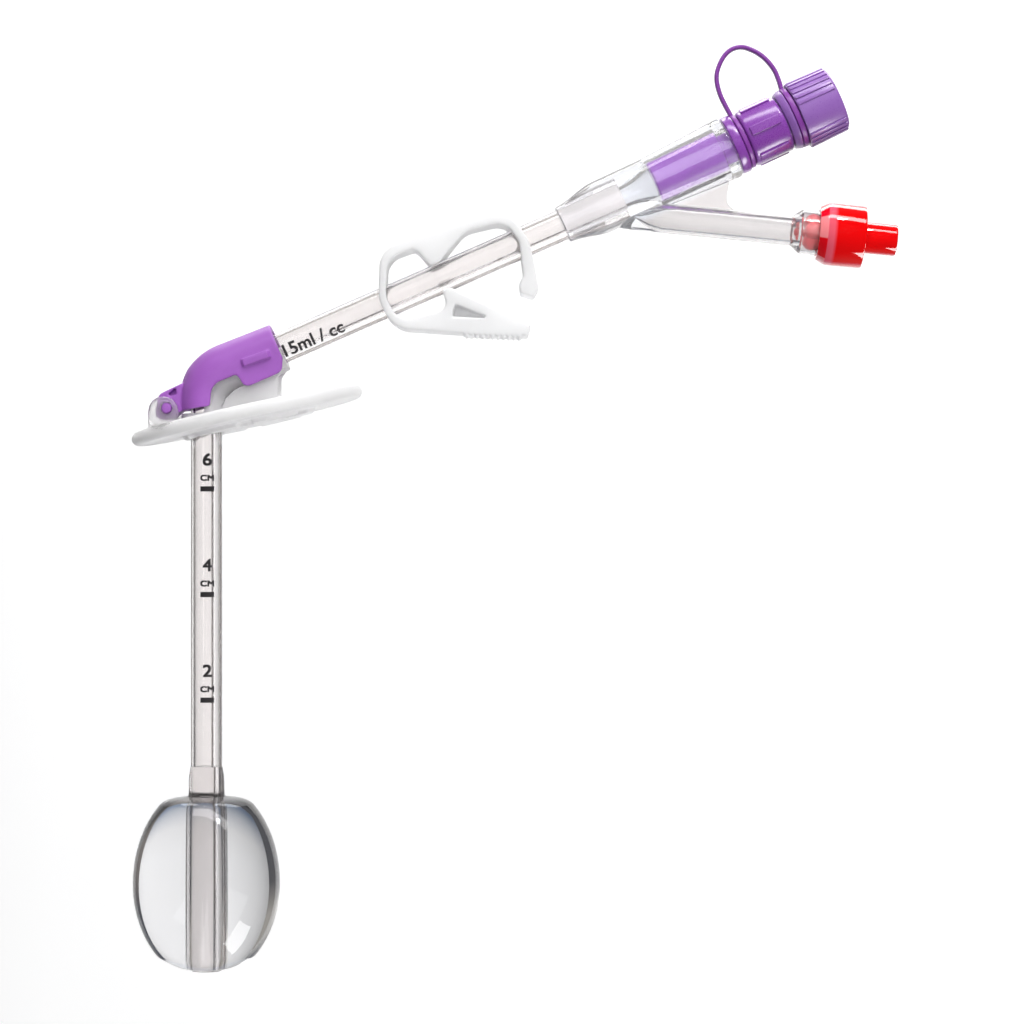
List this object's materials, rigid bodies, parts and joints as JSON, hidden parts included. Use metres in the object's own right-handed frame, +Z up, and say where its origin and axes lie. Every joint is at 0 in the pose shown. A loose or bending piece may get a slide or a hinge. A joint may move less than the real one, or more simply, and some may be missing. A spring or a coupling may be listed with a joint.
{
  "type": "gastrostomy tube",
  "caption": "Balloon feeding tube with a depth-marked shaft, a round bolster with a hinged elbow cover, a pinch clamp, and a Y end with a capped feeding port and a balloon valve.",
  "frame": {"origin": "centre of the box round the whole tube as it lies at rest, at the height of the surface it lies on", "axes": "+Z up; +Y roughly along the shaft, from the balloon to the bolster; +X towards the Y end and its ports"},
  "size_m": [0.1456, 0.1776, 0.0384],
  "materials": {
    "clear_silicone": "clear, soft and glossy",
    "water": "clear liquid",
    "frosted_silicone": "frosted and translucent",
    "purple_plastic": "satin",
    "white_plastic": "satin, slightly translucent",
    "dark_purple_plastic": "glossy",
    "light_purple_plastic": "semi-gloss",
    "red_plastic": "high gloss",
    "pink_plastic": "glossy, slightly translucent",
    "black_rubber": "matt",
    "spring_steel": "bright drawn wire"
  },
  "bodies": {
    "tube": {"feeding_tube": "clear_silicone", "balloon": "clear_silicone", "balloon_water": "water", "bolster": "frosted_silicone", "y_hub": "clear_silicone", "port_insert": "dark_purple_plastic", "valve_housing": "red_plastic", "valve_retainer": "pink_plastic", "valve_spring": "spring_steel"},
    "cover": {"elbow_cover": "purple_plastic"},
    "clamp": {"pinch_clamp": "white_plastic"},
    "strap": {"tether": "purple_plastic"},
    "cap": {"port_cap": "light_purple_plastic"},
    "plunger": {"valve_plunger": "white_plastic", "valve_seal": "black_rubber"}
  },
  "joints": [
    {"name": "cover_hinge", "type": "hinge", "parent": "tube", "child": "cover", "pos_m": [-0.06557, 0.01841, 0.02158], "axis": [0.1336, -0.0633, 0.989], "range_deg": [0, 110]},
    {"name": "clamp_slide", "type": "slide", "parent": "tube", "child": "clamp", "axis": [0.9092, 0.405, -0.0969], "range_m": [-0.018, 0.006]},
    {"name": "cap_lift", "type": "slide", "parent": "tube", "child": "strap", "axis": [0.9007, 0.424, -0.0945], "range_m": [0, 0.005], "deforming": ["tether"]},
    {"name": "cap_turn", "type": "hinge", "parent": "strap", "child": "cap", "pos_m": [0.0512, 0.07363, 0.00934], "axis": [0.9007, 0.424, -0.0945], "range_deg": [0, 360]},
    {"name": "plunger_press", "type": "slide", "parent": "tube", "child": "plunger", "axis": [-0.9859, 0.0932, 0.1392], "range_m": [0, 0.0015], "stiffness_N_per_m": 200, "deforming": ["valve_spring"]}
  ],
  "couplings": [
    {"joint": "cap_turn", "follows": "cap_lift", "rad_per_m": 1256.6}
  ]
}
